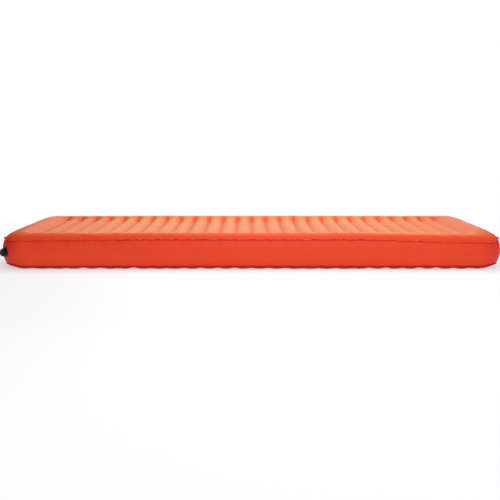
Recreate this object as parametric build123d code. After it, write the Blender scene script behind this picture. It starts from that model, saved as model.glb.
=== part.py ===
"""Inflatable sleeping pad with upright side walls, in millimetres.

The pad is an air-tight envelope: a top panel, a bottom panel and a side wall band, joined
at two seams whose edges stand out as narrow fins. Inside it, a row of I-shaped fabric
baffles ties the top to the bottom along weld lines that run across the pad. Between two
weld lines the panels swell into a tube, and round the tubes runs an open rail. One corner
carries a twist valve, whose knob is screwed out to let the air through.

The origin is the centre of the pad on the floor. X runs along the pad, Y across it and
Z up. A plan outline is the rectangle of the four corner centres, grown by a distance
outward, so the profiles below are drawn as (distance outward, height).
"""
from build123d import *
import math
import os

# Overall size
LENGTH = 1830.0
WIDTH = 640.0
HEIGHT = 132.0
CORNER_R = 80.0  # plan radius of the corners at the widest height

# Envelope
FABRIC = 2.0  # thickness of the panels and the wall
WALL_BULGE = 13.0  # how far the wall stands out past its seams
TOP_DROP = 19.0  # from the top of the pad down to the top seam
BOTTOM_DROP = 14.0  # from the bottom seam down to the floor
FIN_WIDTH = 4.0
FIN_ROOT = 2.0  # overlap of a fin with the panel or wall it belongs to
FIN_THICK = 1.5
SEAM_GAP = 0.3  # between the two fins of a seam
SHOULDER_RUN = 40.0  # how far in from the seam the panel is level

# Tubes and baffles
BAFFLES = 27
PITCH = 61.0
WELD_HALF_LENGTH = 200.0
WELD_HALF_WIDTH = 4.0
VALLEY_DEPTH = 11.8  # less than both drops, so that each valley has a floor
VALLEY_HALF_WIDTH = 24.0  # at the crest of the tubes
FLANK_SAGITTA = 3.4
WEB_THICK = 1.0

# Valve, half-way up the wall: stations are distances outward from the wall's outer surface
WALL_HOLE_R = 10.4
FLANGE_R = 18.0
FLANGE_RIM = 1.0
FLANGE_TOP = 3.4
FLANGE_TOP_R = 12.5
FLANGE_BORE_R = 8.6
NECK_R = 10.1
NECK_END = -3.6
FLANGE_LIFT = 0.3  # between the flange and the wall
BACKING_R = 17.0
BACKING_BORE_R = 10.6
BACKING_THICK = 0.9
BODY_R = 8.4
BODY_BORE_R = 5.8
BODY_INNER_END = -5.2
BODY_OUTER_END = 11.3
LIP_R = 9.9
LIP_THICK = 1.2
SHOULDER_R = 9.4
SHOULDER_FROM = 3.5
SHOULDER_TO = 4.4
COLLAR_R = 9.5
COLLAR_FROM = 9.3
COLLAR_SEAL_R = 0.55  # radius of the seal ring's section
COLLAR_GROOVE_FROM = 9.65
COLLAR_GROOVE_TO = 10.85
CAP_FROM = 4.6
GRIP_TO = 12.2
CAP_TO = 16.4
GRIP_R = 14.0
GRIP_RIBS = 20
GRIP_FLUTE_R = 1.5
MOUTH_R = 10.0
CAP_BORE_R = 9.6
CAP_ROOF = 12.55
CAP_LAND_R = 4.3
CAP_LAND_TO = 14.3
CAP_FLARE_R = 7.0
CLIP_FROM = 4.9
CLIP_THICK = 0.8
CLIP_BORE_R = 8.5
CLIP_R = 10.1
CLIP_SEAT_R = 10.2
CLIP_GAP_DEG = 50.0
GASKET_FROM = 11.4
GASKET_TO = 12.5
GASKET_R = 9.4
GASKET_BORE_R = 4.7
PLUG_HUB_R = 5.75
PLUG_HUB_BORE_R = 4.8
PLUG_HUB_FROM = 6.6
PLUG_HUB_TO = 8.6
PLUG_STEM_R = 1.6
PLUG_HEAD_R = 3.9
PLUG_HEAD_FROM = 11.6
PLUG_HEAD_TO = 14.2
PLUG_SPOKES = 3
PLUG_SPOKE_WIDTH = 1.4
PLUG_SEAL_R = 0.6
PLUG_SEAL_AT = 13.2

# Worked out from the sizes above
CORNER_X = LENGTH / 2 - CORNER_R
CORNER_Y = WIDTH / 2 - CORNER_R
SEAM_OUT = CORNER_R - WALL_BULGE
SEAM_TOP = HEIGHT - TOP_DROP
VALVE_HEIGHT = (SEAM_TOP + BOTTOM_DROP) / 2


def outline(*edges):
    """A face in the XZ plane from edges drawn as (across, up)."""
    return Plane.XZ * make_face(Wire(edges))


def lines(*points):
    """Straight edges through the points, in order."""
    return [Line(a, b) for a, b in zip(points, points[1:])]


def fused(shapes):
    """One shape from several that touch or overlap."""
    return shapes[0].fuse(*shapes[1:]).clean()


def round_the_pad(profile):
    """Carry a profile of (distance outward, height) once round the pad."""
    pieces = []
    for turn in range(4):
        out, along = (CORNER_X, CORNER_Y) if turn % 2 == 0 else (CORNER_Y, CORNER_X)
        side = extrude(Pos(out, -along, 0) * profile, amount=2 * along, dir=(0, 1, 0))
        corner = Pos(out, along, 0) * revolve(profile, Axis.Z, 90)
        pieces += [Rot(0, 0, 90 * turn) * side, Rot(0, 0, 90 * turn) * corner]
    return fused(pieces)


def dome(drop, inset, low):
    """The solid under a panel's outer face, or under a face inset from it, with the seam at 0."""
    top = drop - inset
    radius = (SHOULDER_RUN**2 + drop**2) / (2 * drop)
    level_to = SEAM_OUT - SHOULDER_RUN
    centre = drop - radius
    foot = math.sqrt((radius - inset) ** 2 - (low - centre) ** 2)
    half_turn = math.atan2(foot, low - centre) / 2
    middle = (
        level_to + (radius - inset) * math.sin(half_turn),
        centre + (radius - inset) * math.cos(half_turn),
    )
    shoulder = ThreePointArc((level_to, top), middle, (level_to + foot, low))
    rest = lines((level_to + foot, low), (0, low), (0, top), (level_to, top))
    core = Box(2 * CORNER_X, 2 * CORNER_Y, top - low, align=(Align.CENTER, Align.CENTER, Align.MIN))
    return fused([Pos(0, 0, low) * core, round_the_pad(outline(shoulder, *rest))])


def valley(drop, inset):
    """What one weld line takes out of a panel: a flat floor between two round flanks."""
    floor = drop - VALLEY_DEPTH - inset
    top = drop - inset
    across = VALLEY_HALF_WIDTH - WELD_HALF_WIDTH
    chord = math.hypot(across, VALLEY_DEPTH)
    radius = ((chord / 2) ** 2 + FLANK_SAGITTA**2) / (2 * FLANK_SAGITTA)
    reach = (radius - FLANK_SAGITTA) / chord
    centre_x = WELD_HALF_WIDTH + across / 2 + reach * VALLEY_DEPTH
    centre_z = drop - VALLEY_DEPTH / 2 - reach * across
    tube_r = radius - inset

    def flank(z):
        return centre_x - math.sqrt(tube_r**2 - (z - centre_z) ** 2), z

    over = top + 3
    half = outline(
        ThreePointArc(flank(floor), flank((floor + top) / 2), flank(top)),
        *lines(flank(top), (flank(top)[0], over), (0, over), (0, floor), flank(floor)),
    )
    run = extrude(Pos(0, -WELD_HALF_LENGTH, 0) * half, amount=2 * WELD_HALF_LENGTH, dir=(0, 1, 0))
    end = revolve(half, Axis.Z, 360)
    ends = [Pos(0, side * WELD_HALF_LENGTH, 0) * end for side in (-1, 1)]
    return fused([run, mirror(run, Plane.YZ), *ends])


def weld_positions():
    """X of each weld line, from one end of the pad to the other."""
    return [PITCH * (i - (BAFFLES - 1) / 2) for i in range(BAFFLES)]


def scalloped_panel(drop):
    """A panel that swells up from its seam at 0, with its valleys and its seam fin."""
    outer = dome(drop, 0, 0)
    inner = dome(drop, FABRIC, -1)
    outer = outer.cut(*[Pos(x, 0, 0) * valley(drop, 0) for x in weld_positions()])
    inner = inner.cut(*[Pos(x, 0, 0) * valley(drop, FABRIC) for x in weld_positions()])
    return fused([outer.cut(inner), seam_fin(0)])


def seam_fin(low):
    """The narrow edge that stands out from a seam, from low upward."""
    fin = Pos(SEAM_OUT + (FIN_WIDTH - FIN_ROOT) / 2, low + FIN_THICK / 2) * Rectangle(
        FIN_WIDTH + FIN_ROOT, FIN_THICK
    )
    return round_the_pad(Plane.XZ * fin)


def side_wall():
    """The band between the seams, bowed outward, with a fin at each edge and the valve's hole."""
    low = BOTTOM_DROP + SEAM_GAP
    high = SEAM_TOP - SEAM_GAP
    outside = ThreePointArc((SEAM_OUT, low), (CORNER_R, VALVE_HEIGHT), (SEAM_OUT, high))
    inside = ThreePointArc(
        (SEAM_OUT - FABRIC, high), (CORNER_R - FABRIC, VALVE_HEIGHT), (SEAM_OUT - FABRIC, low)
    )
    edges = [
        Line((SEAM_OUT, high), (SEAM_OUT - FABRIC, high)),
        Line((SEAM_OUT - FABRIC, low), (SEAM_OUT, low)),
    ]
    band = round_the_pad(outline(outside, edges[0], inside, edges[1]))
    band = fused([band, seam_fin(low), seam_fin(high - FIN_THICK)])
    hole = Cylinder(WALL_HOLE_R, 6 * FABRIC)
    return band.cut(at_valve(hole))


def baffle():
    """One I-shaped strip: an upright web with a weld tab along each edge."""
    low = BOTTOM_DROP + SEAM_GAP
    high = SEAM_TOP - SEAM_GAP
    length = 2 * WELD_HALF_LENGTH
    web = Box(WEB_THICK, length, high - low)
    tab = Box(2 * WELD_HALF_WIDTH, length, WEB_THICK)
    rise = (high - low - WEB_THICK) / 2
    strip = fused([web, Pos(0, 0, rise) * tab, Pos(0, 0, -rise) * tab])
    return Pos(0, 0, (low + high) / 2) * strip


def at_valve(shape):
    """Place a shape drawn on the Z axis on the valve's axis, at the corner of the wall."""
    diagonal = math.sqrt(0.5)
    origin = (-CORNER_X - CORNER_R * diagonal, -CORNER_Y - CORNER_R * diagonal, VALVE_HEIGHT)
    frame = Plane(origin=origin, x_dir=(diagonal, -diagonal, 0), z_dir=(-diagonal, -diagonal, 0))
    return frame.location * shape


def turned(*edges):
    """A solid of revolution about the valve's axis from edges drawn as (radius, station)."""
    return revolve(outline(*edges), Axis.Z, 360)


def sleeve(bore, radius, low, high):
    """A plain ring from low to high."""
    corners = ((bore, low), (radius, low), (radius, high), (bore, high), (bore, low))
    return turned(*lines(*corners))


def disc(radius, low, high):
    """A plain round bar from low to high."""
    return Pos(0, 0, low) * Cylinder(radius, high - low, align=(Align.CENTER, Align.CENTER, Align.MIN))


def dished(radius, start, sphere_r):
    """Station of a face dished like a sphere that starts at `start` on the axis."""
    return start - radius**2 / (2 * sphere_r)


def valve_flange():
    """The soft domed disc on the outside of the wall, with a neck through it."""
    wall_r = 104.0  # flatter than the wall, so that the dish stays clear of it
    under = [(r, dished(r, FLANGE_LIFT, wall_r)) for r in (NECK_R, (NECK_R + FLANGE_R) / 2, FLANGE_R)]
    rim = (FLANGE_R, under[-1][1] + FLANGE_RIM)
    brow = (15.8, 1.9)
    top = (FLANGE_TOP_R, FLANGE_TOP)
    return turned(
        ThreePointArc(*under),
        Line(under[-1], rim),
        ThreePointArc(rim, brow, top),
        *lines(top, (FLANGE_BORE_R, FLANGE_TOP), (FLANGE_BORE_R, NECK_END), (NECK_R, NECK_END), under[0]),
    )


def valve_backing_ring():
    """The ring behind the wall that the flange is welded through to."""
    wall_r = 77.0
    start = -FABRIC - FLANGE_LIFT
    radii = (BACKING_BORE_R, (BACKING_BORE_R + BACKING_R) / 2, BACKING_R)
    face = [(r, dished(r, start, wall_r)) for r in radii]
    back = [(r, z - BACKING_THICK) for r, z in face]
    return turned(
        ThreePointArc(*face), Line(face[-1], back[-1]), ThreePointArc(*back[::-1]), Line(back[0], face[0])
    )


def valve_body():
    """The stiff tube that the knob runs on, with a lip, a shoulder and a grooved collar."""
    tube = fused(
        [
            sleeve(BODY_BORE_R, BODY_R, BODY_INNER_END, BODY_OUTER_END),
            sleeve(BODY_BORE_R, LIP_R, BODY_INNER_END, BODY_INNER_END + LIP_THICK),
            sleeve(BODY_BORE_R, SHOULDER_R, SHOULDER_FROM, SHOULDER_TO),
            sleeve(BODY_BORE_R, COLLAR_R, COLLAR_FROM, BODY_OUTER_END),
        ]
    )
    groove = sleeve(COLLAR_R - 2 * COLLAR_SEAL_R, COLLAR_R + 1, COLLAR_GROOVE_FROM, COLLAR_GROOVE_TO)
    return tube.cut(groove)


def seal_ring(reach, section_r, station):
    """An O-ring whose outside is at `reach`."""
    return Pos(0, 0, station) * Torus(reach - section_r, section_r)


def valve_plug():
    """The fixed plug that fills the knob's hole when the valve is shut, on a spoked hub."""
    hub = sleeve(PLUG_HUB_BORE_R, PLUG_HUB_R, PLUG_HUB_FROM, PLUG_HUB_TO)
    stem = disc(PLUG_STEM_R, PLUG_HUB_FROM, PLUG_HEAD_TO)
    head = disc(PLUG_HEAD_R, PLUG_HEAD_FROM, PLUG_HEAD_TO)
    reach = PLUG_HUB_BORE_R + 0.4
    spoke = Box(
        reach, PLUG_SPOKE_WIDTH, PLUG_HUB_TO - PLUG_HUB_FROM, align=(Align.MIN, Align.CENTER, Align.MIN)
    )
    spokes = [Rot(0, 0, 360 / PLUG_SPOKES * i) * Pos(0, 0, PLUG_HUB_FROM) * spoke for i in range(PLUG_SPOKES)]
    groove = sleeve(
        PLUG_HEAD_R + 0.3 - 2 * PLUG_SEAL_R,
        PLUG_HEAD_R + 1,
        PLUG_SEAL_AT - PLUG_SEAL_R,
        PLUG_SEAL_AT + PLUG_SEAL_R,
    )
    return fused([hub, stem, head, *spokes]).cut(groove)


def valve_cap():
    """The knob: a fluted grip, a plain round mouthpiece, and a hole that the plug fills."""
    grip = disc(GRIP_R, CAP_FROM, GRIP_TO)
    grip = fillet(grip.edges().filter_by(GeomType.CIRCLE), 0.8)
    flute = disc(GRIP_FLUTE_R, CAP_FROM - 1, GRIP_TO + 1)
    around = [Rot(0, 0, 360 / GRIP_RIBS * i) * Pos(GRIP_R + 0.7, 0, 0) * flute for i in range(GRIP_RIBS)]
    mouth = disc(MOUTH_R, GRIP_TO - 1, CAP_TO)
    knob = fused([grip.cut(*around), mouth])
    bore = disc(CAP_BORE_R, CAP_FROM - 1, CAP_ROOF)
    land = disc(CAP_LAND_R, CAP_ROOF - 1, CAP_LAND_TO + 0.1)
    flare = turned(
        *lines(
            (0, CAP_LAND_TO),
            (CAP_LAND_R, CAP_LAND_TO),
            (CAP_FLARE_R, CAP_TO),
            (CAP_FLARE_R, CAP_TO + 1),
            (0, CAP_TO + 1),
            (0, CAP_LAND_TO),
        )
    )
    seat = disc(CLIP_SEAT_R, CLIP_FROM - 0.05, CLIP_FROM + CLIP_THICK + 0.05)
    return knob.cut(bore, land, flare, seat)


def cap_retaining_clip():
    """The split ring in the knob's skirt that meets the collar when the knob is fully out."""
    ring = outline(
        *lines(
            (CLIP_BORE_R, CLIP_FROM),
            (CLIP_R, CLIP_FROM),
            (CLIP_R, CLIP_FROM + CLIP_THICK),
            (CLIP_BORE_R, CLIP_FROM + CLIP_THICK),
            (CLIP_BORE_R, CLIP_FROM),
        )
    )
    return revolve(ring, Axis.Z, 360 - CLIP_GAP_DEG)


def parts():
    """Every separate piece, by the name a person would use."""
    strip = baffle()
    named = {
        "top_panel": Pos(0, 0, SEAM_TOP) * scalloped_panel(TOP_DROP),
        "bottom_panel": Pos(0, 0, BOTTOM_DROP) * mirror(scalloped_panel(BOTTOM_DROP), Plane.XY),
        "side_wall": side_wall(),
    }
    for number, x in enumerate(weld_positions(), 1):
        named[f"baffle_{number:02d}"] = Pos(x, 0, 0) * strip
    collar_seal_at = (COLLAR_GROOVE_FROM + COLLAR_GROOVE_TO) / 2
    valve = {
        "valve_flange": valve_flange(),
        "valve_backing_ring": valve_backing_ring(),
        "valve_body": valve_body(),
        "valve_plug": valve_plug(),
        "plug_seal_ring": seal_ring(PLUG_HEAD_R + 0.3, PLUG_SEAL_R, PLUG_SEAL_AT),
        "collar_seal_ring": seal_ring(COLLAR_R, COLLAR_SEAL_R, collar_seal_at),
        "cap_gasket": sleeve(GASKET_BORE_R, GASKET_R, GASKET_FROM, GASKET_TO),
        "valve_cap": valve_cap(),
        "cap_retaining_clip": cap_retaining_clip(),
    }
    named.update({name: at_valve(shape) for name, shape in valve.items()})
    return named


os.makedirs("parts", exist_ok=True)
for name, shape in parts().items():
    export_step(shape, f"parts/{name}.step")
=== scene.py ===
"""Inflatable sleeping pad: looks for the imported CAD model, in metres, in its frame.

The envelope is one closed mesh of a top panel, a wall and a bottom panel. It is drawn from
the weld lines, the seams and the roll round the edge, blown up as cloth under pressure,
and then cut at its seams into three pieces. Two fins cover the cuts.
"""
import math

import bpy
import numpy as np
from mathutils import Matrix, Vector


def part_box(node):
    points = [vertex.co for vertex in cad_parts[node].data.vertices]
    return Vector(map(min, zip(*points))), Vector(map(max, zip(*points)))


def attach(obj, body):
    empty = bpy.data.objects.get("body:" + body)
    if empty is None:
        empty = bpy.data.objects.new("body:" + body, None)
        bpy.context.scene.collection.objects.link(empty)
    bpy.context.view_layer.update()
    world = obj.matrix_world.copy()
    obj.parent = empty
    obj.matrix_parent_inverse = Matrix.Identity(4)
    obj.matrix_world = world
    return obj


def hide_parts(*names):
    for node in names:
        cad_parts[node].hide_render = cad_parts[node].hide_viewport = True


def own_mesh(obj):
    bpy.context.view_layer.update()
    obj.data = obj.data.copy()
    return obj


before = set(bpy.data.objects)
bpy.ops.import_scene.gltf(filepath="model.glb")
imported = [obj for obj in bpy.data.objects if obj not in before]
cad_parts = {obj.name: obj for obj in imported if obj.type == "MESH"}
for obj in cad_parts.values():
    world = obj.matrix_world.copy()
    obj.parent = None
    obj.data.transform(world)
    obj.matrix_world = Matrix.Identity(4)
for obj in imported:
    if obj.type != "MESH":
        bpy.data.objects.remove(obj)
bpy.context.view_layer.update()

# ---- Sizes, from the frame --------------------------------------------------------------


def box(node):
    """Low and high corner of a CAD node."""
    return tuple(np.array(corner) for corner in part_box(node))


def centre(node):
    """Middle of a CAD node's box."""
    return sum(box(node)) / 2


WALL_HIGH = box("side_wall")[1]
TOP_LOW, TOP_HIGH = box("top_panel")
BOTTOM_HIGH = box("bottom_panel")[1]
BAFFLES = sorted(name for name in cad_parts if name.startswith("baffle_"))
WELD_X = [float(centre(name)[0]) for name in BAFFLES]
PITCH = WELD_X[1] - WELD_X[0]
VALVE = centre("valve_body")
WALL_HOLE = centre("valve_backing_ring")

FIN = 0.004  # how far a fin stands out of its seam
SEAM_HALF = TOP_HIGH[:2] - FIN  # half length and half width of the seam's outline
SEAM_R = 0.067
HEIGHT = float(TOP_HIGH[2])
TOP_SEAM = float(TOP_LOW[2]) - 0.0015  # a little below the edge of the CAD panel
LOW_SEAM = float(BOTTOM_HIGH[2]) - 0.0025
BULGE = float(WALL_HIGH[0] - SEAM_HALF[0])

# ---- Shape of the envelope --------------------------------------------------------------

TUBE_DROP = 0.007  # crests of the tubes below the crest of the rail round them
RAIL_FADE = (0.045, 0.120)  # distance from the seam over which the rail falls to the tubes
TOP_ROLL = 0.040  # from the top seam in to the rail's crest
LOW_ROLL = 0.036
WIDER_ROLL = 0.6  # how much longer the roll is at a corner, as a share
TOP_DEPTH = 0.016  # from the crest of a tube down to a weld line
LOW_DEPTH = 0.0118
WELD_HALF = 0.0025  # half width of the flat weld
TOP_FADE = (0.033, 0.080)  # distance from the seam over which a weld line sinks in
LOW_FADE = (0.002, 0.034)
END_SWELL = 0.0010  # the wide cells at the two ends stand higher than the tubes
CORNER_X = (0.78, 0.90)  # where the corners begin and are complete, along and across
CORNER_Y = (0.17, 0.30)
CORNER_LIFT = 0.0095  # the bottom seam rises this much round each corner
LIFT_REACH = 0.12  # how far in from the seam the lift carries
# How much further in each weld line starts to sink
LATE = np.random.default_rng(7).uniform(-0.004, 0.009, len(WELD_X))
# How far the top seam hangs down near each corner, by (end, side)
DROOP = {(-1, -1): 0.004, (1, -1): 0.011, (-1, 1): 0.002, (1, 1): 0.001}
DROOP_X = (0.35, 0.80)
DROOP_STOP = (0.86, 0.90)
DROOP_Y = (0.15, 0.29)
DROOP_REACH = 0.10

CELLS_PER_TUBE = 6
END_CELLS = 12
ROWS = 68
WALL_ROWS = 11
TOP, WALL, BOTTOM = range(3)  # numbers of the panels on the faces of the envelope


def smooth(value, low, high):
    """0 below low, 1 above high, and smooth between."""
    share = np.clip((value - low) / (high - low), 0, 1)
    return share * share * (3 - 2 * share)


def rounded(x, y):
    """Places on a rectangle moved onto the rounded outline of the seam."""
    core = SEAM_HALF - SEAM_R
    a = np.clip((np.abs(x) - core[0]) / SEAM_R, 0, 1)
    b = np.clip((np.abs(y) - core[1]) / SEAM_R, 0, 1)
    new_x = np.where(a > 0, core[0] + SEAM_R * a * np.sqrt(1 - b * b / 2), np.abs(x))
    new_y = np.where(b > 0, core[1] + SEAM_R * b * np.sqrt(1 - a * a / 2), np.abs(y))
    return np.sign(x) * new_x, np.sign(y) * new_y


def inward(x, y):
    """Distance in from the seam's outline."""
    qx = np.abs(x) - (SEAM_HALF[0] - SEAM_R)
    qy = np.abs(y) - (SEAM_HALF[1] - SEAM_R)
    outside = np.hypot(np.maximum(qx, 0), np.maximum(qy, 0))
    return SEAM_R - outside - np.minimum(np.maximum(qx, qy), 0)


def outward(x, y):
    """Unit normal of the outline nearest to each place."""
    qx = np.maximum(np.abs(x) - (SEAM_HALF[0] - SEAM_R), 0) * np.sign(x)
    qy = np.maximum(np.abs(y) - (SEAM_HALF[1] - SEAM_R), 0) * np.sign(y)
    length = np.maximum(np.hypot(qx, qy), 1e-9)
    return qx / length, qy / length


def weld_gaps(x):
    """Distance along the pad from each place to every weld line."""
    return np.abs(x[..., None] - np.array(WELD_X))


def seam_gap(z):
    """Height above or below the nearer seam."""
    return np.minimum(np.abs(z - TOP_SEAM), np.abs(z - LOW_SEAM))


def tube_sag(x, depth):
    """How far a round tube has fallen from its crest, which is all of depth at a weld."""
    reach = PITCH / 2 - WELD_HALF
    from_crest = np.clip((PITCH / 2 - weld_gaps(x).min(axis=-1)) / reach, 0, 1)
    radius = (reach**2 + depth**2) / (2 * depth)
    return radius - np.sqrt(radius**2 - (from_crest * reach) ** 2)


def end_cell(x):
    """1 in the middle of the wide cell at each end, and 0 from the last weld line on."""
    share = np.clip((np.abs(x) - WELD_X[-1]) / (SEAM_HALF[0] - WELD_X[-1]), 0, 1)
    return np.sin(math.pi * share) ** 2


def near_corner(x, y):
    """1 at the four corners of the outline, falling off along the edges."""
    return smooth(np.abs(x), *CORNER_X) * smooth(np.abs(y), *CORNER_Y)


def panel_height(x, y, rise, run, drop, depth, fade):
    """Height of a panel above its seam's plane."""
    d = inward(x, y)
    t = np.clip(d / (run * (1 + WIDER_ROLL * near_corner(x, y))), 0, 1)
    roll = np.sqrt(1 - (1 - t) ** 2)
    crest = rise - drop * smooth(d, *RAIL_FADE) + END_SWELL * end_cell(x)
    late = LATE[weld_gaps(x).argmin(axis=-1)]
    return crest * roll - smooth(d - late, *fade) * tube_sag(x, depth)


def droop(x, y):
    """How far the top seam hangs down near each corner."""
    total = np.zeros_like(x)
    for (end, side), depth in DROOP.items():
        near_end = smooth(x * end, *DROOP_X) * (1 - smooth(x * end, *DROOP_STOP))
        total += depth * near_end * smooth(y * side, *DROOP_Y)
    return total


def stations():
    """X of each grid column, with three on each weld line."""
    end = SEAM_HALF[0]
    columns = list(np.linspace(-end, WELD_X[0] - WELD_HALF, END_CELLS + 1)[:-1])
    for left, right in zip(WELD_X, WELD_X[1:]):
        columns += [left - WELD_HALF, left]
        columns += list(np.linspace(left + WELD_HALF, right - WELD_HALF, CELLS_PER_TUBE + 1)[:-1])
    columns += [WELD_X[-1] - WELD_HALF, WELD_X[-1]]
    columns += list(np.linspace(WELD_X[-1] + WELD_HALF, end, END_CELLS + 1))
    return np.array(columns)


def wall_rows(low, high):
    """Points of the bowed wall between its two seams, one row after the other."""
    out = np.stack([*outward(high[:, 0], high[:, 1]), np.zeros(len(high))], -1)
    half = (TOP_SEAM - LOW_SEAM) / 2
    bow = (half**2 + BULGE**2) / (2 * BULGE)
    rows = []
    for row in range(1, WALL_ROWS):
        share = row / WALL_ROWS
        stand = BULGE - bow + math.sqrt(bow**2 - ((share * 2 - 1) * half) ** 2)
        rows.append(low + (high - low) * share + out * stand)
    return rows


def envelope_grid():
    """Points, faces, panel number of each face, and top and bottom seam of the envelope."""
    gx, gy = np.meshgrid(
        stations(), np.linspace(-SEAM_HALF[1], SEAM_HALF[1], ROWS + 1), indexing="ij"
    )
    x, y = rounded(gx, gy)
    d = inward(x, y)
    hang = droop(x, y) * (1 - smooth(d, 0, DROOP_REACH))
    lift = CORNER_LIFT * near_corner(x, y) ** 2 * (1 - smooth(d, 0, LIFT_REACH))
    rise = panel_height(x, y, HEIGHT - TOP_SEAM, TOP_ROLL, TUBE_DROP, TOP_DEPTH, TOP_FADE)
    fall = panel_height(x, y, LOW_SEAM, LOW_ROLL, 0, LOW_DEPTH, LOW_FADE)
    top = np.stack([x, y, TOP_SEAM + rise - hang], -1).reshape(-1, 3)
    bottom = np.stack([x, y, np.maximum(LOW_SEAM + lift - fall, 0)], -1).reshape(-1, 3)

    count = gx.size
    index = np.arange(count).reshape(gx.shape)
    edge = np.concatenate([index[:, 0], index[-1, 1:], index[-2::-1, -1], index[0, -2:0:-1]])
    rows = wall_rows(bottom[edge], top[edge])
    rings = [edge + count]
    rings += [np.arange(len(edge)) + 2 * count + row * len(edge) for row in range(len(rows))]
    rings.append(edge)

    quads = np.stack([index[:-1, :-1], index[1:, :-1], index[1:, 1:], index[:-1, 1:]], -1)
    quads = quads.reshape(-1, 4)
    faces = quads.tolist() + (quads[:, ::-1] + count).tolist()
    panel = [TOP] * len(quads) + [BOTTOM] * len(quads)
    for below, above in zip(rings, rings[1:]):
        sides = np.stack([below, np.roll(below, -1), np.roll(above, -1), above], -1)
        faces += sides.tolist()
        panel += [WALL] * len(sides)
    return np.concatenate([top, bottom, *rows]), faces, panel, rings[-1], rings[0]


def new_object(name, points, faces):
    """A smooth-shaded mesh object from points and faces."""
    mesh = bpy.data.meshes.new(name)
    mesh.from_pydata([tuple(p) for p in points], [], [tuple(f) for f in faces])
    mesh.validate()
    mesh.update()
    mesh.polygons.foreach_set("use_smooth", [True] * len(mesh.polygons))
    thing = bpy.data.objects.new(name, mesh)
    bpy.context.scene.collection.objects.link(thing)
    return thing


def crease_seams(mesh, rings):
    """Keep the seams sharp when the mesh is subdivided."""
    on_seam = set()
    for ring in rings:
        pairs = zip(ring.tolist(), np.roll(ring, -1).tolist())
        on_seam |= {tuple(sorted(pair)) for pair in pairs}
    crease = mesh.attributes.new("crease_edge", "FLOAT", "EDGE")
    sharp = [float(tuple(sorted(edge.vertices)) in on_seam) for edge in mesh.edges]
    crease.data.foreach_set("value", sharp)


def applied(thing):
    """The object's mesh with its modifiers applied."""
    depsgraph = bpy.context.evaluated_depsgraph_get()
    return bpy.data.meshes.new_from_object(thing.evaluated_get(depsgraph))


def mesh_points(mesh):
    """The mesh's vertices as rows of x, y and z."""
    flat = np.empty(len(mesh.vertices) * 3)
    mesh.vertices.foreach_get("co", flat)
    return flat.reshape(-1, 3)


HOLE_R = 0.010  # faces whose middle is this near the middle of the hole are left out


def split_panel(name, mesh, points, number):
    """One panel of the envelope as an object of its own, open where the valve goes through."""
    chosen = []
    for polygon in mesh.polygons:
        corners = list(polygon.vertices)
        in_hole = np.linalg.norm(points[corners].mean(axis=0) - WALL_HOLE) <= HOLE_R
        if polygon.material_index == number and not in_hole:
            chosen.append(corners)
    used = sorted({vertex for corners in chosen for vertex in corners})
    renumber = {old: new for new, old in enumerate(used)}
    faces = [[renumber[vertex] for vertex in corners] for corners in chosen]
    return new_object(name, points[used], faces)


# ---- Cloth ------------------------------------------------------------------------------

FRAMES = 20
MOVE_CAP = 0.005  # the most that the simulation may move a point
CLOTH = {
    "quality": 5,
    "mass": 0.12,
    "tension_stiffness": 25,
    "compression_stiffness": 25,
    "shear_stiffness": 8,
    "bending_stiffness": 0.15,
    "use_pressure": True,
    "uniform_pressure_force": 4,
    "shrink_min": -0.003,
    "shrink_max": -0.003,
}
WELD_HALF_LENGTH = float(box(BAFFLES[0])[1][1]) + 0.02  # the weld runs on past its baffle
WELD_SLACK = 0.0002
VALVE_BAND = 0.03  # weld lines are free this far above and below the valve
VALVE_PATCH = 0.045  # everything this near the valve is held


def held_points(points, rings):
    """How firmly each vertex of the envelope is held while it is blown up."""
    hold = np.zeros(len(points))
    for ring in rings:
        hold[ring] = 1
    on_weld = weld_gaps(points[:, 0]).min(axis=1) < WELD_HALF + WELD_SLACK
    inner = np.abs(points[:, 1]) < WELD_HALF_LENGTH
    hold[on_weld & inner & (np.abs(points[:, 2] - VALVE[2]) > VALVE_BAND)] = 1
    hold[np.linalg.norm(points - VALVE, axis=1) < VALVE_PATCH] = 1
    return hold


def blow_up(thing, hold):
    """Simulate the envelope as cloth under pressure and keep the result, with moves capped."""
    before = mesh_points(thing.data)
    group = thing.vertex_groups.new(name="held")
    group.add(np.flatnonzero(hold > 0).tolist(), 1.0, "REPLACE")
    cloth = thing.modifiers.new("cloth", "CLOTH")
    for setting, value in CLOTH.items():
        setattr(cloth.settings, setting, value)
    cloth.settings.vertex_group_mass = "held"
    cloth.settings.effector_weights.gravity = 0
    scene = bpy.context.scene
    scene.frame_start, scene.frame_end = 1, FRAMES
    cloth.point_cache.frame_start, cloth.point_cache.frame_end = 1, FRAMES
    for step in range(1, FRAMES + 1):
        scene.frame_set(step)
    after = mesh_points(applied(thing))
    thing.modifiers.remove(cloth)
    scene.frame_set(1)
    move = after - before
    length = np.linalg.norm(move, axis=1, keepdims=True)
    move *= np.minimum(1, MOVE_CAP / np.maximum(length, 1e-9))
    print(f"cloth moved {length.mean():.5f} m on average and {length.max():.5f} m at most")
    thing.data.vertices.foreach_set("co", (before + move).ravel())
    thing.data.update()


PUCKER = 0.0016  # depth of the short waves beside the seams
PUCKER_WAVES = (0.017, 0.026, 0.041)
PUCKER_START = 0.003  # the waves begin within this distance of the seam
PUCKER_REACH = 0.009  # and die away over this one
DRIFT, DRIFT_RATE, DRIFT_SHIFT = 3, 23, 900  # keep the waves from repeating


def pucker_wave(along):
    """Uneven short waves along an edge."""
    drift = [DRIFT * np.sin(along * DRIFT_RATE + length * DRIFT_SHIFT) for length in PUCKER_WAVES]
    turns = [2 * math.pi * along / length for length in PUCKER_WAVES]
    return sum(np.sin(turn + shift) for turn, shift in zip(turns, drift))


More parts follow.
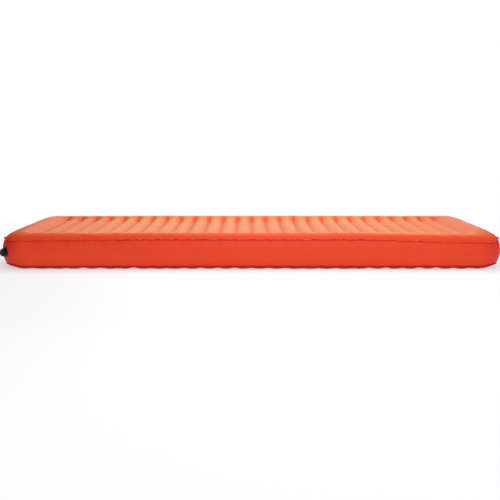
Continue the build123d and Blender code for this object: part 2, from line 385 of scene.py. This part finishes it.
def pucker(points):
    """Push the cloth in and out beside the two seams, in short waves along them."""
    x, y, z = points.T
    nx, ny = outward(x, y)
    d = np.hypot(inward(x, y), seam_gap(z))
    depth = PUCKER * smooth(d, 0, PUCKER_START) * np.exp(-d / PUCKER_REACH)
    wave = np.abs(nx) * pucker_wave(y) + np.abs(ny) * pucker_wave(x)
    side = np.where(z > TOP_SEAM, 1, np.where(z < LOW_SEAM, -1, 0))
    push = depth * wave / len(PUCKER_WAVES)
    return points + np.stack([nx * push * (side == 0), ny * push * (side == 0), side * push], -1)


def build_envelope():
    """Top, wall and bottom of the envelope, blown up and cut apart at its seams."""
    points, faces, panel, top_seam, low_seam = envelope_grid()
    envelope = new_object("envelope", points, faces)
    for _ in (TOP, WALL, BOTTOM):
        envelope.data.materials.append(None)
    envelope.data.polygons.foreach_set("material_index", panel)
    blow_up(envelope, held_points(points, (top_seam, low_seam)))
    crease_seams(envelope.data, (top_seam, low_seam))
    envelope.modifiers.new("smooth", "SUBSURF").levels = 1
    fine = applied(envelope)
    fine_points = pucker(mesh_points(fine))
    fine_points[:, 2] = np.maximum(fine_points[:, 2], 0)
    bpy.data.objects.remove(envelope)
    names = ("top_fabric", "wall_fabric", "bottom_fabric")
    return [split_panel(name, fine, fine_points, number) for number, name in enumerate(names)]


top, wall, bottom = build_envelope()

# ---- Painted sheen and painted shade that the materials read from the vertices ----------

WELD_SHADE = 0.0045  # how far the painted shade of a weld line spreads from it
SEAM_SHADE = 0.004
WELD_END_SHADE = 0.011
WELD_END = (0.060, 0.120)  # distance from the seam over which the red end of a weld line fades; that red is painted shade, where the painted sheen is held back
PAINTED_SHEEN_EDGE = (0.012, 0.038)  # distance from the seam over which the painted sheen of the upward face begins
# How much the painted sheen is held back at the red ends of the weld lines and toward both ends of the
# pad, as painted shade
END_SHADE_X = (0.40, 0.90)
SHEEN_LOSS_AT_WELD_END = 0.75
SHEEN_LOSS_AT_END = 0.4
# how strongly the seam's painted shade shows on a panel, as a share
SEAM_SHARE = 0.5


def shade(thing, name, values):
    """Store one number for each vertex of the piece, for its material to read."""
    layer = thing.data.attributes.new(name, "FLOAT", "POINT")
    layer.data.foreach_set("value", np.asarray(values, dtype=np.float32))


def shade_panel(piece, fade):
    """Mark the painted sheen on the upward face and the painted shade at the welds and the seam of the
    top or the bottom panel.
    """
    x, y, _ = mesh_points(piece.data).T
    d = inward(x, y)
    from_weld = weld_gaps(x).min(axis=1)
    # Painted shade in the hollows of the weld lines and along the seam
    weld = smooth(d, *fade) * np.exp(-((from_weld / WELD_SHADE) ** 2))
    seam = np.exp(-np.abs(d) / SEAM_SHADE)
    # Painted shade: less painted sheen at the ends of the weld lines, where their hollows rise to the
    # seam
    weld_end = np.exp(-((from_weld / WELD_END_SHADE) ** 2)) * (1 - smooth(d, *WELD_END))
    # Painted sheen: the upward face is paler and yellower than the roll
    painted_light = smooth(d, *PAINTED_SHEEN_EDGE) * (1 - SHEEN_LOSS_AT_WELD_END * weld_end)
    # Painted shade toward both ends of the pad, where less light falls
    toward_end = smooth(np.abs(x), *END_SHADE_X)
    shade(piece, "painted_light", painted_light * (1 - SHEEN_LOSS_AT_END * toward_end))
    shade(piece, "crease", np.maximum(weld, SEAM_SHARE * seam))


def shade_wall(piece):
    """Mark the painted shade at the corners and along the seams of the wall."""
    x, y, z = mesh_points(piece.data).T
    # Painted shade at the corners, where the wall turns away from the light
    shade(piece, "painted_light", near_corner(x, y) ** 2)
    # Painted shade along the wall's seams
    shade(piece, "crease", np.exp(-seam_gap(z) / SEAM_SHADE))


shade_panel(top, TOP_FADE)
shade_panel(bottom, LOW_FADE)
shade_wall(wall)

# ---- Seam fins --------------------------------------------------------------------------

FIN_PROFILE = (  # (share of the reach, half thickness) from inside the seam, out and back
    (-0.0015, 0.0004), (0.5, 0.0005), (0.97, 0.0004), (1.0, 0),
    (0.97, -0.0004), (0.5, -0.0005), (-0.0015, -0.0004),
)
FIN_SWAY_WAVES = (83, 131, 197, 241)
FIN_EDGE_WAVES = (67, 149, 229)
FIN_EDGE = 0.0004  # how uneven the cut edge is
FIN_TILT = 0.40
CORNER_CALM = 0.8  # how much less a fin sways at a corner, as a share


def boundary_loop(thing):
    """The points of the object's one open edge, in order."""
    mesh = thing.data
    uses = {}
    for polygon in mesh.polygons:
        for key in polygon.edge_keys:
            uses[key] = uses.get(key, 0) + 1
    beside = {}
    for (a, b), count in uses.items():
        if count == 1:
            beside.setdefault(a, []).append(b)
            beside.setdefault(b, []).append(a)
    first = min(beside)
    loop = [first, beside[first][0]]
    while True:
        step = [v for v in beside[loop[-1]] if v != loop[-2]]
        if step[0] == first:
            break
        loop.append(step[0])
    return mesh_points(mesh)[loop]


def ripple(count, waves, seed):
    """A smooth closed wiggle of about -1 to 1 with the given numbers of waves round the loop."""
    random = np.random.default_rng(seed)
    turn = np.linspace(0, 2 * math.pi, count, endpoint=False)
    total = sum(np.sin(wave * turn + random.uniform(0, 2 * math.pi)) for wave in waves)
    return total / math.sqrt(len(waves))


def band_faces(rows, count, closed=True):
    """Quads between neighbouring rows of count points each."""
    faces = []
    for row in range(rows - 1):
        a, b = row * count, (row + 1) * count
        for here in range(count if closed else count - 1):
            after = (here + 1) % count
            faces.append((a + here, a + after, b + after, b + here))
    return faces


def seam_fin(name, loop, seed, corner_reach):
    """The two welded edges of a seam: a thin strip that stands out, puckered along its length."""
    count = len(loop)
    out = np.stack([*outward(loop[:, 0], loop[:, 1]), np.zeros(count)], -1)
    corner = 2 * np.abs(out[:, 0] * out[:, 1])
    tilt = FIN_TILT * ripple(count, FIN_SWAY_WAVES, seed) * (1 - CORNER_CALM * corner)
    reach = FIN + FIN_EDGE * ripple(count, FIN_EDGE_WAVES, seed + 1) + corner_reach * corner
    rows = []
    for along, half in FIN_PROFILE:
        distance = np.full(count, along) if along < 0 else along * reach
        row = loop + out * (np.cos(tilt) * distance)[:, None]
        row[:, 2] += half + np.where(distance > 0, distance, 0) * np.sin(tilt)
        rows.append(row)
    return new_object(name, np.concatenate(rows), band_faces(len(rows), count))


top_fin = seam_fin("top_seam_fin", boundary_loop(top), 11, 0.0045)
bottom_fin = seam_fin("bottom_seam_fin", boundary_loop(bottom), 23, 0)

# ---- Baffles ----------------------------------------------------------------------------

BAFFLE_TOP = HEIGHT - TUBE_DROP - TOP_DEPTH - 0.0012  # just under the weld line
BAFFLE_LOW = LOW_DEPTH + 0.0012
TAB_HALF, WEB_HALF = 0.0038, 0.0004  # half widths of the tabs and of the strip between them
TAB_THICK = 0.0004
TAB_ROOT = 0.0006
BAFFLE_STEPS = 41
BAFFLE_WAVE = 0.0012
BAFFLE_WAVE_RATE = 31


def baffle(number, node):
    """One I-shaped strip, with a slight wave along it, and a tab along each edge."""
    low, high = box(node)
    middle = (low[0] + high[0]) / 2
    along = np.linspace(low[1], high[1], BAFFLE_STEPS)
    wave = BAFFLE_WAVE * np.sin(along * BAFFLE_WAVE_RATE + number)
    right = [
        (TAB_HALF, BAFFLE_LOW - TAB_THICK), (TAB_HALF, BAFFLE_LOW),
        (WEB_HALF, BAFFLE_LOW + TAB_ROOT), (WEB_HALF, (BAFFLE_LOW + BAFFLE_TOP) / 2),
        (WEB_HALF, BAFFLE_TOP - TAB_ROOT), (TAB_HALF, BAFFLE_TOP),
        (TAB_HALF, BAFFLE_TOP + TAB_THICK),
    ]
    left = [(-x, z) for x, z in reversed(right)]
    outline = left[-1:] + right + left[:-1]
    count = len(outline)
    points = []
    for y, bend in zip(along, wave):
        for x, z in outline:
            sway = bend * math.sin(math.pi * (z - BAFFLE_LOW) / (BAFFLE_TOP - BAFFLE_LOW))
            points.append((middle + x + sway, y, z))
    faces = [(a, d, c, b) for a, b, c, d in band_faces(len(along), count)]
    faces.append(tuple(range(count)))
    faces.append(tuple(range(len(points) - 1, len(points) - 1 - count, -1)))
    return new_object(f"baffle_strip_{number:02d}", points, faces)


strips = [baffle(number, node) for number, node in enumerate(BAFFLES, 1)]

# ---- Materials --------------------------------------------------------------------------

THREADS_PER_METRE = 1800
CLOTH_GLOSS = 0.13
MOULDED_GLOSS = 0.25
SHEEN_TINT = (1.0, 0.8, 0.4, 1)
GLINT_LEVEL, GLINT_EDGE = 0.62, 14.0  # how rare the painted highlights on the fin's edge are and how sharp


def principled(name):
    """A new material, its node tree and its shader."""
    material = bpy.data.materials.new(name)
    material.use_nodes = True
    tree = material.node_tree
    return material, tree, tree.nodes["Principled BSDF"]


def link(tree, source, target):
    """Join an output socket to an input socket."""
    tree.links.new(source, target)


def noise(tree, scale, detail):
    """A noise texture on the object's own coordinates."""
    place = tree.nodes.new("ShaderNodeTexCoord")
    texture = tree.nodes.new("ShaderNodeTexNoise")
    texture.inputs["Scale"].default_value = scale
    texture.inputs["Detail"].default_value = detail
    link(tree, place.outputs["Object"], texture.inputs["Vector"])
    return texture.outputs["Fac"]


def blend_colour(tree, factor, low, high):
    """A colour between low and high, each a colour or the output of another node."""
    mix = tree.nodes.new("ShaderNodeMix")
    mix.data_type = "RGBA"
    link(tree, factor, mix.inputs["Factor"])
    for socket, colour in ((mix.inputs[6], low), (mix.inputs[7], high)):
        if isinstance(colour, tuple):
            socket.default_value = (*colour, 1)
        else:
            link(tree, colour, socket)
    return mix.outputs[2]


def maths(tree, operation, first, second=None):
    """One maths node; each input is a socket or a number."""
    node = tree.nodes.new("ShaderNodeMath")
    node.operation = operation
    for socket, value in zip(node.inputs, (first, second)):
        if value is None:
            continue
        if isinstance(value, (int, float)):
            socket.default_value = value
        else:
            link(tree, value, socket)
    return node.outputs[0]


def scaled(tree, value, factor):
    """A socket's value times a number."""
    return maths(tree, "MULTIPLY", value, factor)


def uneven_roughness(tree, shader, grain, middle, spread):
    """Roughness that varies with the grain by the given spread."""
    rough = maths(tree, "ADD", scaled(tree, grain, spread), middle - spread / 2)
    link(tree, rough, shader.inputs["Roughness"])


def add_bump(tree, shader, height, strength, distance):
    """Use the height as relief."""
    bump = tree.nodes.new("ShaderNodeBump")
    bump.inputs["Strength"].default_value = strength
    bump.inputs["Distance"].default_value = distance
    link(tree, height, bump.inputs["Height"])
    link(tree, bump.outputs["Normal"], shader.inputs["Normal"])


def weave_height(tree):
    """Crossed threads on the object's own coordinates, whichever way the cloth faces."""
    place = tree.nodes.new("ShaderNodeTexCoord")
    split = tree.nodes.new("ShaderNodeSeparateXYZ")
    link(tree, place.outputs["Object"], split.inputs["Vector"])
    turn = 2 * math.pi * THREADS_PER_METRE
    along, across, up = (
        maths(tree, "SINE", scaled(tree, split.outputs[axis], turn)) for axis in "XYZ"
    )
    flat = maths(tree, "MULTIPLY", along, across)
    upright = maths(tree, "MULTIPLY", maths(tree, "ADD", along, across), up)
    return maths(tree, "ADD", flat, upright)


def stored(tree, name):
    """A number that the piece's vertices hold."""
    node = tree.nodes.new("ShaderNodeAttribute")
    node.attribute_name = name
    return node.outputs["Fac"]


def fabric(name, dark, light, painted_light=None, crease=None, roughness=0.42, sheen=0.10, painted_glint=None):
    """Fine coated nylon: crossed threads, soft creases, slight mottling and a satin sheen.

    Where the vertices say so, some faces may take a second colour, a paler painted sheen on the top
    and painted shade at the wall's corners, and the welds and seams a darker colour, which is painted
    shade in the hollows of the welds and along the seams. Flecks are painted highlights along the cut
    edge of a seam.
    """
    material, tree, shader = principled(name)
    colour = blend_colour(tree, noise(tree, scale=9, detail=3), dark, light)
    # A second colour where the vertices say so: painted sheen on the top, painted shade at the wall's
    # corners
    if painted_light:
        colour = blend_colour(tree, stored(tree, "painted_light"), colour, painted_light)
    # Painted shade in the hollows of the welds and along the seams
    if crease:
        colour = blend_colour(tree, stored(tree, "crease"), colour, crease)
    # Painted highlights: pale specks along the fin's cut edge
    if painted_glint:
        above = maths(tree, "SUBTRACT", noise(tree, scale=120, detail=1), GLINT_LEVEL)
        glint_spots = maths(tree, "MAXIMUM", scaled(tree, above, GLINT_EDGE), 0.0)
        colour = blend_colour(tree, maths(tree, "MINIMUM", glint_spots, 1.0), colour, painted_glint)
    link(tree, colour, shader.inputs["Base Color"])
    uneven_roughness(tree, shader, noise(tree, scale=420, detail=2), roughness, spread=0.10)
    shader.inputs["Specular IOR Level"].default_value = CLOTH_GLOSS
    shader.inputs["Sheen Weight"].default_value = sheen
    shader.inputs["Sheen Roughness"].default_value = 0.4
    shader.inputs["Sheen Tint"].default_value = SHEEN_TINT
    creases = scaled(tree, noise(tree, scale=26, detail=3), 4.0)
    height = maths(tree, "ADD", creases, scaled(tree, weave_height(tree), 0.12))
    add_bump(tree, shader, height, strength=0.5, distance=0.00025)
    return material


def moulded(name, colour, roughness, grain_scale=900):
    """Moulded plastic or rubber with a fine grain and slight wear."""
    material, tree, shader = principled(name)
    paler = tuple(min(c * 1.5 + 0.002, 1) for c in colour)
    mottle = noise(tree, scale=60, detail=3)
    link(tree, blend_colour(tree, mottle, colour, paler), shader.inputs["Base Color"])
    grain = noise(tree, grain_scale, detail=2)
    uneven_roughness(tree, shader, grain, roughness, spread=0.16)
    shader.inputs["Specular IOR Level"].default_value = MOULDED_GLOSS
    add_bump(tree, shader, grain, strength=0.4, distance=0.00006)
    return material


# The top's paler, yellower colour is painted sheen on the upward faces; its darker one is painted
# shade along the welds and the seam
TOP_CLOTH = fabric(
    "top_cloth", (0.82, 0.056, 0.018), (0.86, 0.066, 0.022),
    painted_light=(0.79, 0.215, 0.042), crease=(0.68, 0.085, 0.014),
)
# The wall's darker colours are painted shade, at its corners and along its seams
WALL_CLOTH = fabric(
    "wall_cloth", (0.80, 0.058, 0.020), (0.85, 0.068, 0.024),
    painted_light=(0.72, 0.030, 0.019), crease=(0.68, 0.014, 0.014), roughness=0.46, sheen=0.02,
)
# The bottom panel is far darker than the top: painted shade for the underside, which faces the floor
BOTTOM_CLOTH_SHADED = fabric(
    "bottom_cloth_painted_shade", (0.34, 0.012, 0.014), (0.38, 0.014, 0.016),
    crease=(0.26, 0.010, 0.012), roughness=0.5,
)
# The fin's pale specks are painted highlights
FIN_CLOTH = fabric(
    "fin_cloth", (0.66, 0.020, 0.014), (0.78, 0.034, 0.018),
    roughness=0.5, painted_glint=(0.84, 0.17, 0.10),
)
# The bottom seam's fin is dark too: painted shade
LOW_FIN_CLOTH_SHADED = fabric("low_fin_cloth_painted_shade", (0.40, 0.012, 0.012), (0.46, 0.016, 0.014), roughness=0.5)
BAFFLE_CLOTH = fabric("baffle_cloth", (0.62, 0.61, 0.58), (0.7, 0.69, 0.66), roughness=0.5)
KNOB = moulded("knob_plastic", (0.004, 0.006, 0.011), roughness=0.42)
BODY = moulded("valve_plastic", (0.006, 0.008, 0.013), roughness=0.38)
FLANGE = moulded("flange_polyurethane", (0.004, 0.006, 0.012), roughness=0.36, grain_scale=700)
SEAL = moulded("seal_rubber", (0.012, 0.012, 0.012), roughness=0.5)
CLIP = moulded("clip_plastic", (0.42, 0.42, 0.40), roughness=0.35)
VALVE_FINISH = {
    "valve_cap": KNOB,
    "valve_flange": FLANGE,
    "valve_backing_ring": FLANGE,
    "valve_body": BODY,
    "valve_plug": BODY,
    "plug_seal_ring": SEAL,
    "collar_seal_ring": SEAL,
    "cap_gasket": SEAL,
    "cap_retaining_clip": CLIP,
}


def dress(thing, material):
    """Give every face of the object one material."""
    thing.data.materials.clear()
    thing.data.materials.append(material)


dress(top, TOP_CLOTH)
dress(wall, WALL_CLOTH)
dress(bottom, BOTTOM_CLOTH_SHADED)
dress(top_fin, FIN_CLOTH)
dress(bottom_fin, LOW_FIN_CLOTH_SHADED)
for strip in strips:
    dress(strip, BAFFLE_CLOTH)
for node, material in VALVE_FINISH.items():
    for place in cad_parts[node].material_slots:
        place.material = material

# ---- What each piece stands for and how it moves ----------------------------------------

for piece, slot, nodes in (
    (top, "top_fabric", ["top_panel"]),
    (wall, "wall_fabric", ["side_wall"]),
    (bottom, "bottom_fabric", ["bottom_panel"]),
    (top_fin, "wall_fabric", []),
    (bottom_fin, "wall_fabric", []),
):
    if nodes:
        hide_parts(*nodes)
    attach(piece, "base")
    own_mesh(piece)
for strip, node in zip(strips, BAFFLES):
    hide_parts(node)
    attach(strip, "base")
    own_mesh(strip)

# ---- Floor, light and camera ------------------------------------------------------------

STUDIO_R = 30.0
DOME_R = 1.6 * STUDIO_R
FLOOR_FADE = (1.0, 2.4)  # distance from the middle over which the floor turns plain white
SWEEP_BACK = 3.2
SWEEP_R = 1.6
SWEEP_STEPS = 25
SWEEP_TOP = 7.0
SWEEP_ENDS = (-2.2, 2.8)
WORLD_LIGHT = 0.10
LIGHTS = (  # name, place, target, size, power in watts
    ("key", (0.25, -1.9, 1.75), (0.1, 0, 0.06), (1.2, 0.8), 33),
    ("side", (3.0, -0.6, 0.9), (0.4, 0, 0.08), (1.2, 1.2), 10),
    ("over", (0.15, 0.1, 1.45), (0.1, 0.05, 0.1), (1.0, 0.9), 10.5),
    ("backdrop", (0, 1.6, 3.2), (0, 4.8, 0.6), (5.0, 1.0), 150),
)
CAMERA_PLACE = (-0.0053, -2.8685, 0.4856)
CAMERA_PITCH = 9.14  # degrees below level
CAMERA_FOCAL = 1.441  # focal length over the picture's width


def pale_paint(shader, grey, glow, gloss=0.1):
    """Matt pale paint that glows a little, so that shadows on it stay faint."""
    shader.inputs["Base Color"].default_value = (grey, grey, grey, 1)
    shader.inputs["Emission Color"].default_value = (1, 1, 1, 1)
    shader.inputs["Emission Strength"].default_value = glow
    shader.inputs["Roughness"].default_value = 0.95
    shader.inputs["Specular IOR Level"].default_value = gloss


def studio_floor():
    """A pale floor that takes the pad's soft shadow and is plain white further out."""
    ends = ((-STUDIO_R, -STUDIO_R), (STUDIO_R, -STUDIO_R), (STUDIO_R, STUDIO_R), (-STUDIO_R, STUDIO_R))
    floor = new_object("studio_floor", [(x, y, 0) for x, y in ends], [(0, 1, 2, 3)])
    material, tree, shader = principled("floor_paint")
    pale_paint(shader, grey=0.45, glow=0.56)
    place = tree.nodes.new("ShaderNodeTexCoord")
    distance = tree.nodes.new("ShaderNodeVectorMath")
    distance.operation = "LENGTH"
    link(tree, place.outputs["Object"], distance.inputs[0])
    fade = tree.nodes.new("ShaderNodeMapRange")
    fade.inputs["From Min"].default_value, fade.inputs["From Max"].default_value = FLOOR_FADE
    link(tree, distance.outputs["Value"], fade.inputs["Value"])
    white = tree.nodes.new("ShaderNodeEmission")
    mix = tree.nodes.new("ShaderNodeMixShader")
    link(tree, fade.outputs["Result"], mix.inputs["Fac"])
    link(tree, shader.outputs["BSDF"], mix.inputs[1])
    link(tree, white.outputs["Emission"], mix.inputs[2])
    link(tree, mix.outputs["Shader"], tree.nodes["Material Output"].inputs["Surface"])
    dress(floor, material)


def studio_sweep():
    """A curved backdrop that lights the pad from behind. The camera looks past it to the dome."""
    turn = np.linspace(0, math.pi / 2, SWEEP_STEPS)
    profile = [
        (SWEEP_BACK + SWEEP_R * math.sin(t), SWEEP_R - SWEEP_R * math.cos(t)) for t in turn
    ]
    profile.append((SWEEP_BACK + SWEEP_R, SWEEP_TOP))
    points = [(x, y, z) for y, z in profile for x in SWEEP_ENDS]
    sweep = new_object("studio_sweep", points, band_faces(len(profile), 2, closed=False))
    sweep.visible_camera = False
    material, _, shader = principled("sweep_paint")
    pale_paint(shader, grey=0.55, glow=0.45)
    dress(sweep, material)


def studio_dome():
    """A white shell round the studio that is seen past the floor but doesn't light the pad."""
    bpy.ops.mesh.primitive_uv_sphere_add(segments=48, ring_count=24, radius=DOME_R)
    dome = bpy.context.object
    dome.name = "studio_dome"
    dome.visible_diffuse = dome.visible_glossy = False
    dome.visible_shadow = dome.visible_transmission = False
    material, _, shader = principled("dome_paint")
    pale_paint(shader, grey=0, glow=1.0, gloss=0)
    dress(dome, material)


def area_light(name, place, target, size, power):
    """A soft light that faces the target."""
    data = bpy.data.lights.new(name, "AREA")
    data.shape = "RECTANGLE"
    data.size, data.size_y = size
    data.energy = power
    thing = bpy.data.objects.new(name, data)
    bpy.context.scene.collection.objects.link(thing)
    thing.location = place
    thing.visible_camera = False
    aim = Vector(target) - Vector(place)
    thing.rotation_euler = aim.to_track_quat("-Z", "Y").to_euler()


def faint_world():
    """An even faint light from all round."""
    world = bpy.data.worlds.new("studio")
    bpy.context.scene.world = world
    world.use_nodes = True
    background = world.node_tree.nodes["Background"]
    background.inputs["Color"].default_value = (1, 1, 1, 1)
    background.inputs["Strength"].default_value = WORLD_LIGHT


def photo_camera():
    """The camera at the photograph's viewing angle."""
    data = bpy.data.cameras.new("camera")
    camera = bpy.data.objects.new("camera", data)
    bpy.context.scene.collection.objects.link(camera)
    bpy.context.scene.camera = camera
    data.lens = CAMERA_FOCAL * data.sensor_width
    camera.location = CAMERA_PLACE
    camera.rotation_euler = (math.radians(90 - CAMERA_PITCH), 0, 0)


studio_floor()
studio_sweep()
studio_dome()
for light in LIGHTS:
    area_light(*light)
faint_world()
bpy.context.scene.view_settings.view_transform = "Standard"
photo_camera()
